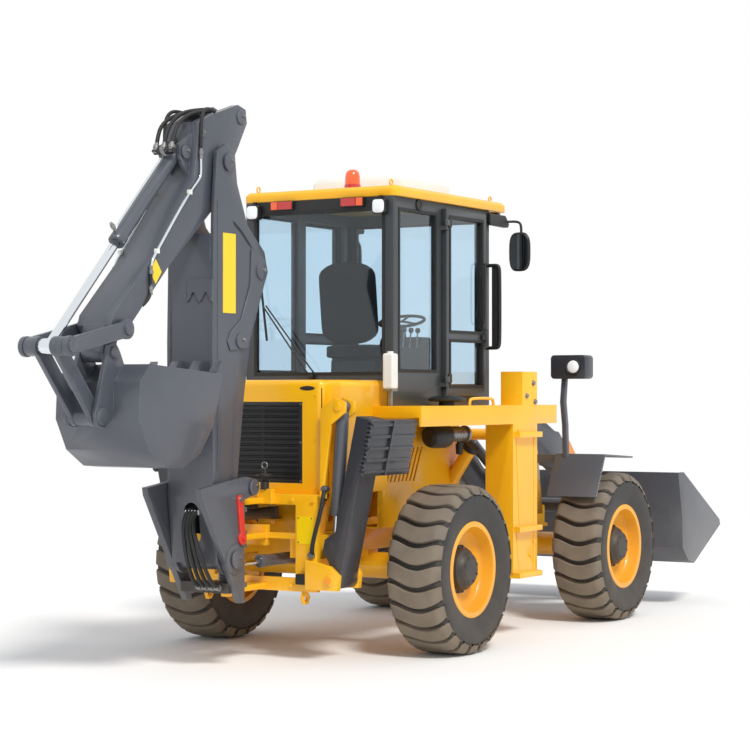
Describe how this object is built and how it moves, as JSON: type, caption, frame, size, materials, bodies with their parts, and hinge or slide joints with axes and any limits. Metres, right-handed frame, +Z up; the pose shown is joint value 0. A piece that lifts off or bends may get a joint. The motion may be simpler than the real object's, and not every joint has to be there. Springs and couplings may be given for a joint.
{
  "type": "backhoe loader",
  "caption": "Backhoe loader with an articulated frame, a glazed cab, a loader bucket in front and a folded digging arm with stabiliser legs behind.",
  "frame": {"origin": "on the ground midway between the wheels of the rear axle", "axes": "+X forward to the loader bucket, +Y to the machine's left, +Z up"},
  "size_m": [7.833, 2.35, 3.712],
  "materials": {
    "yellow": "satin",
    "slate": "satin",
    "dark_metal": "matte",
    "chrome": "polished",
    "tyre": "matte",
    "black_plastic": "matte",
    "white_plastic": "satin"
  },
  "bodies": {
    "rear": {"rear_frame": "yellow", "backhoe_mount": "yellow", "mount_lugs": "yellow", "rear_axle": "dark_metal", "engine_block": "dark_metal", "engine_hood": "yellow", "radiator_grille": "black_plastic", "side_panels": "yellow", "deck": "yellow", "cab_frame": "slate", "cab_roof": "yellow", "roof_equipment": "white_plastic", "cab_interior": "black_plastic", "cab_fittings": "black_plastic", "swing_barrel_left": "slate", "swing_barrel_right": "slate"},
    "front": {"front_frame": "yellow", "front_axle": "dark_metal", "front_fenders": "slate", "head_lamps": "black_plastic"},
    "arms": {"lift_arms": "slate"},
    "lift_barrels": {"lift_barrels": "slate"},
    "lift_rods": {"lift_rods": "chrome"},
    "tilt_barrels": {"tilt_barrels": "slate"},
    "tilt_rods": {"tilt_rods": "chrome"},
    "bucket": {"loader_bucket": "slate"},
    "king_post": {"king_post": "slate"},
    "boom": {"boom": "slate"},
    "boom_barrel": {"boom_barrel": "slate"},
    "boom_rod": {"boom_rod": "chrome"},
    "dipper": {"dipper": "slate"},
    "dipper_barrel": {"dipper_barrel": "slate"},
    "dipper_rod": {"dipper_rod": "chrome"},
    "hoe_barrel": {"hoe_barrel": "slate"},
    "hoe_rod": {"hoe_rod": "chrome"},
    "guide_links": {"guide_links": "slate"},
    "bucket_link": {"bucket_link": "slate"},
    "hoe_bucket": {"hoe_bucket": "slate"},
    "wheel_rear_left": {"tyre_rear_left": "tyre", "rim_rear_left": "yellow"},
    "wheel_rear_right": {"tyre_rear_right": "tyre", "rim_rear_right": "yellow"},
    "wheel_front_left": {"tyre_front_left": "tyre", "rim_front_left": "yellow"},
    "wheel_front_right": {"tyre_front_right": "tyre", "rim_front_right": "yellow"},
    "steer_barrel_left": {"steer_barrel_left": "slate"},
    "steer_rod_left": {"steer_rod_left": "chrome"},
    "steer_barrel_right": {"steer_barrel_right": "slate"},
    "steer_rod_right": {"steer_rod_right": "chrome"},
    "door_left": {"door_left": "slate"},
    "door_right": {"door_right": "slate"},
    "swing_rod_left": {"swing_rod_left": "chrome"},
    "swing_rod_right": {"swing_rod_right": "chrome"},
    "leg_left": {"stabiliser_leg_left": "slate"},
    "leg_barrel_left": {"stabiliser_barrel_left": "slate"},
    "leg_rod_left": {"stabiliser_rod_left": "chrome"},
    "leg_right": {"stabiliser_leg_right": "slate"},
    "leg_barrel_right": {"stabiliser_barrel_right": "slate"},
    "leg_rod_right": {"stabiliser_rod_right": "chrome"}
  },
  "joints": [
    {"name": "rear_left_spin", "type": "hinge", "parent": "rear", "child": "wheel_rear_left", "pos_m": [0, 0.97, 0.588], "axis": [0, 1, 0], "continuous": true},
    {"name": "rear_right_spin", "type": "hinge", "parent": "rear", "child": "wheel_rear_right", "pos_m": [0, -0.97, 0.588], "axis": [0, 1, 0], "continuous": true},
    {"name": "front_left_spin", "type": "hinge", "parent": "front", "child": "wheel_front_left", "pos_m": [2.57, 0.97, 0.588], "axis": [0, 1, 0], "continuous": true},
    {"name": "front_right_spin", "type": "hinge", "parent": "front", "child": "wheel_front_right", "pos_m": [2.57, -0.97, 0.588], "axis": [0, 1, 0], "continuous": true},
    {"name": "steer", "type": "hinge", "parent": "rear", "child": "front", "pos_m": [1.6, 0, 0.75], "axis": [0, 0, 1], "range_deg": [-32, 32]},
    {"name": "steer_left_swivel", "type": "hinge", "parent": "rear", "child": "steer_barrel_left", "pos_m": [1, 0.3, 0.64], "axis": [0, 0, 1], "range_deg": [-6.95, 6.95]},
    {"name": "steer_left_stroke", "type": "slide", "parent": "steer_barrel_left", "child": "steer_rod_left", "axis": [1, 0, 0], "range_m": [-0.1662, 0.1662]},
    {"name": "steer_right_swivel", "type": "hinge", "parent": "rear", "child": "steer_barrel_right", "pos_m": [1, -0.3, 0.64], "axis": [0, 0, 1], "range_deg": [-6.95, 6.95]},
    {"name": "steer_right_stroke", "type": "slide", "parent": "steer_barrel_right", "child": "steer_rod_right", "axis": [1, 0, 0], "range_m": [-0.1662, 0.1662]},
    {"name": "door_left_hinge", "type": "hinge", "parent": "rear", "child": "door_left", "pos_m": [0.5, 0.66, 2.4], "axis": [0, 0, 1], "range_deg": [0, 85]},
    {"name": "door_right_hinge", "type": "hinge", "parent": "rear", "child": "door_right", "pos_m": [0.5, -0.66, 2.4], "axis": [0, 0, -1], "range_deg": [0, 85]},
    {"name": "lift", "type": "hinge", "parent": "front", "child": "arms", "pos_m": [2.13, 0, 1.62], "axis": [0, -1, 0], "range_deg": [-10, 70]},
    {"name": "lift_swivel", "type": "hinge", "parent": "front", "child": "lift_barrels", "pos_m": [1.92, 0, 0.58], "axis": [0, -1, 0], "range_deg": [-2.17, 12.16]},
    {"name": "lift_stroke", "type": "slide", "parent": "lift_barrels", "child": "lift_rods", "axis": [0.6187, 0, 0.7856], "range_m": [-0.0743, 0.5019]},
    {"name": "tilt", "type": "hinge", "parent": "arms", "child": "bucket", "pos_m": [3.62, 0, 0.56], "axis": [0, 1, 0], "range_deg": [-15, 75]},
    {"name": "tilt_swivel", "type": "hinge", "parent": "arms", "child": "tilt_barrels", "pos_m": [2.75, 0, 1.42], "axis": [0, -1, 0], "range_deg": [-0.58, 0.88]},
    {"name": "tilt_stroke", "type": "slide", "parent": "tilt_barrels", "child": "tilt_rods", "axis": [0.8474, 0, -0.5309], "range_m": [-0.0863, 0.4197]},
    {"name": "swing", "type": "hinge", "parent": "rear", "child": "king_post", "pos_m": [-1.33, 0, 0.8], "axis": [0, 0, 1], "range_deg": [-90, 90]},
    {"name": "swing_left_stroke", "type": "slide", "parent": "rear", "child": "swing_rod_left", "axis": [-1, 0, 0], "range_m": [-0.153, 0.153]},
    {"name": "swing_right_stroke", "type": "slide", "parent": "rear", "child": "swing_rod_right", "axis": [-1, 0, 0], "range_m": [-0.153, 0.153]},
    {"name": "boom", "type": "hinge", "parent": "king_post", "child": "boom", "pos_m": [-1.58, 0, 0.73], "axis": [0, -1, 0], "range_deg": [0, 110]},
    {"name": "boom_swivel", "type": "hinge", "parent": "king_post", "child": "boom_barrel", "pos_m": [-1.37, 0, 1.19], "axis": [0, -1, 0], "range_deg": [-0.5, 116.64]},
    {"name": "boom_stroke", "type": "slide", "parent": "boom_barrel", "child": "boom_rod", "axis": [0.1112, 0, 0.9938], "range_m": [-0.003, 0.8088]},
    {"name": "dipper", "type": "hinge", "parent": "boom", "child": "dipper", "pos_m": [-1.58, 0, 3.31], "axis": [0, 1, 0], "range_deg": [0, 105]},
    {"name": "dipper_swivel", "type": "hinge", "parent": "boom", "child": "dipper_barrel", "pos_m": [-1.45, 0, 2.15], "axis": [0, -1, 0], "range_deg": [-5.26, 0.5]},
    {"name": "dipper_stroke", "type": "slide", "parent": "dipper_barrel", "child": "dipper_rod", "axis": [0.0606, 0, 0.9982], "range_m": [-0.6158, 0.003]},
    {"name": "hoe_curl", "type": "hinge", "parent": "dipper", "child": "hoe_bucket", "pos_m": [-2.702, 0, 2.055], "axis": [0, 1, 0], "range_deg": [0, 105]},
    {"name": "guide_turn", "type": "hinge", "parent": "dipper", "child": "guide_links", "pos_m": [-2.636, 0, 2.198], "axis": [0, -1, 0], "range_deg": [-90.17, 1]},
    {"name": "link_turn", "type": "hinge", "parent": "guide_links", "child": "bucket_link", "pos_m": [-3.171, 0, 2.084], "axis": [0, -1, 0], "range_deg": [-1, 18.13]},
    {"name": "hoe_swivel", "type": "hinge", "parent": "dipper", "child": "hoe_barrel", "pos_m": [-1.92, 0, 3.35], "axis": [0, -1, 0], "range_deg": [-9.39, 0.5]},
    {"name": "hoe_stroke", "type": "slide", "parent": "hoe_barrel", "child": "hoe_rod", "axis": [-0.7029, 0, -0.7113], "range_m": [-0.7414, 0.003]},
    {"name": "stabiliser_left", "type": "hinge", "parent": "rear", "child": "leg_left", "pos_m": [-0.88, 0.62, 0.565], "axis": [-1, 0, 0], "range_deg": [0, 105]},
    {"name": "leg_left_swivel", "type": "hinge", "parent": "rear", "child": "leg_barrel_left", "pos_m": [-0.88, 0.63, 1.72], "axis": [1, 0, 0], "range_deg": [-0.5, 14.9]},
    {"name": "leg_left_stroke", "type": "slide", "parent": "leg_barrel_left", "child": "leg_rod_left", "axis": [0, -0.0644, -0.9979], "range_m": [-0.003, 0.2566]},
    {"name": "stabiliser_right", "type": "hinge", "parent": "rear", "child": "leg_right", "pos_m": [-0.88, -0.62, 0.565], "axis": [1, 0, 0], "range_deg": [0, 105]},
    {"name": "leg_right_swivel", "type": "hinge", "parent": "rear", "child": "leg_barrel_right", "pos_m": [-0.88, -0.63, 1.72], "axis": [-1, 0, 0], "range_deg": [-0.5, 14.9]},
    {"name": "leg_right_stroke", "type": "slide", "parent": "leg_barrel_right", "child": "leg_rod_right", "axis": [0, 0.0644, -0.9979], "range_m": [-0.003, 0.2566]}
  ],
  "couplings": [
    {"joint": "steer_left_swivel", "follows": "steer", "ratio": 0.20144},
    {"joint": "steer_left_stroke", "follows": "steer", "m_per_rad": -0.2922},
    {"joint": "steer_right_swivel", "follows": "steer", "ratio": 0.20144},
    {"joint": "steer_right_stroke", "follows": "steer", "m_per_rad": 0.2922},
    {"joint": "lift_swivel", "follows": "lift", "ratio": 0.16661},
    {"joint": "lift_stroke", "follows": "lift", "m_per_rad": 0.40836},
    {"joint": "tilt_swivel", "follows": "tilt", "ratio": 0.005084},
    {"joint": "tilt_stroke", "follows": "tilt", "m_per_rad": 0.31837},
    {"joint": "swing_left_stroke", "follows": "swing", "m_per_rad": 0.063662},
    {"joint": "swing_right_stroke", "follows": "swing", "m_per_rad": -0.063662},
    {"joint": "boom_swivel", "follows": "boom", "ratio": 1.0558},
    {"joint": "boom_stroke", "follows": "boom", "m_per_rad": 0.4197},
    {"joint": "dipper_swivel", "follows": "dipper", "ratio": -0.045369},
    {"joint": "dipper_stroke", "follows": "dipper", "m_per_rad": -0.3344},
    {"joint": "guide_turn", "follows": "hoe_curl", "ratio": -0.84923},
    {"joint": "link_turn", "follows": "hoe_curl", "ratio": 0.1631},
    {"joint": "hoe_swivel", "follows": "hoe_curl", "ratio": -0.084704},
    {"joint": "hoe_stroke", "follows": "hoe_curl", "m_per_rad": -0.40291},
    {"joint": "leg_left_swivel", "follows": "stabiliser_left", "ratio": 0.13713},
    {"joint": "leg_left_stroke", "follows": "stabiliser_left", "m_per_rad": 0.13841},
    {"joint": "leg_right_swivel", "follows": "stabiliser_right", "ratio": 0.13713},
    {"joint": "leg_right_stroke", "follows": "stabiliser_right", "m_per_rad": 0.13841}
  ]
}
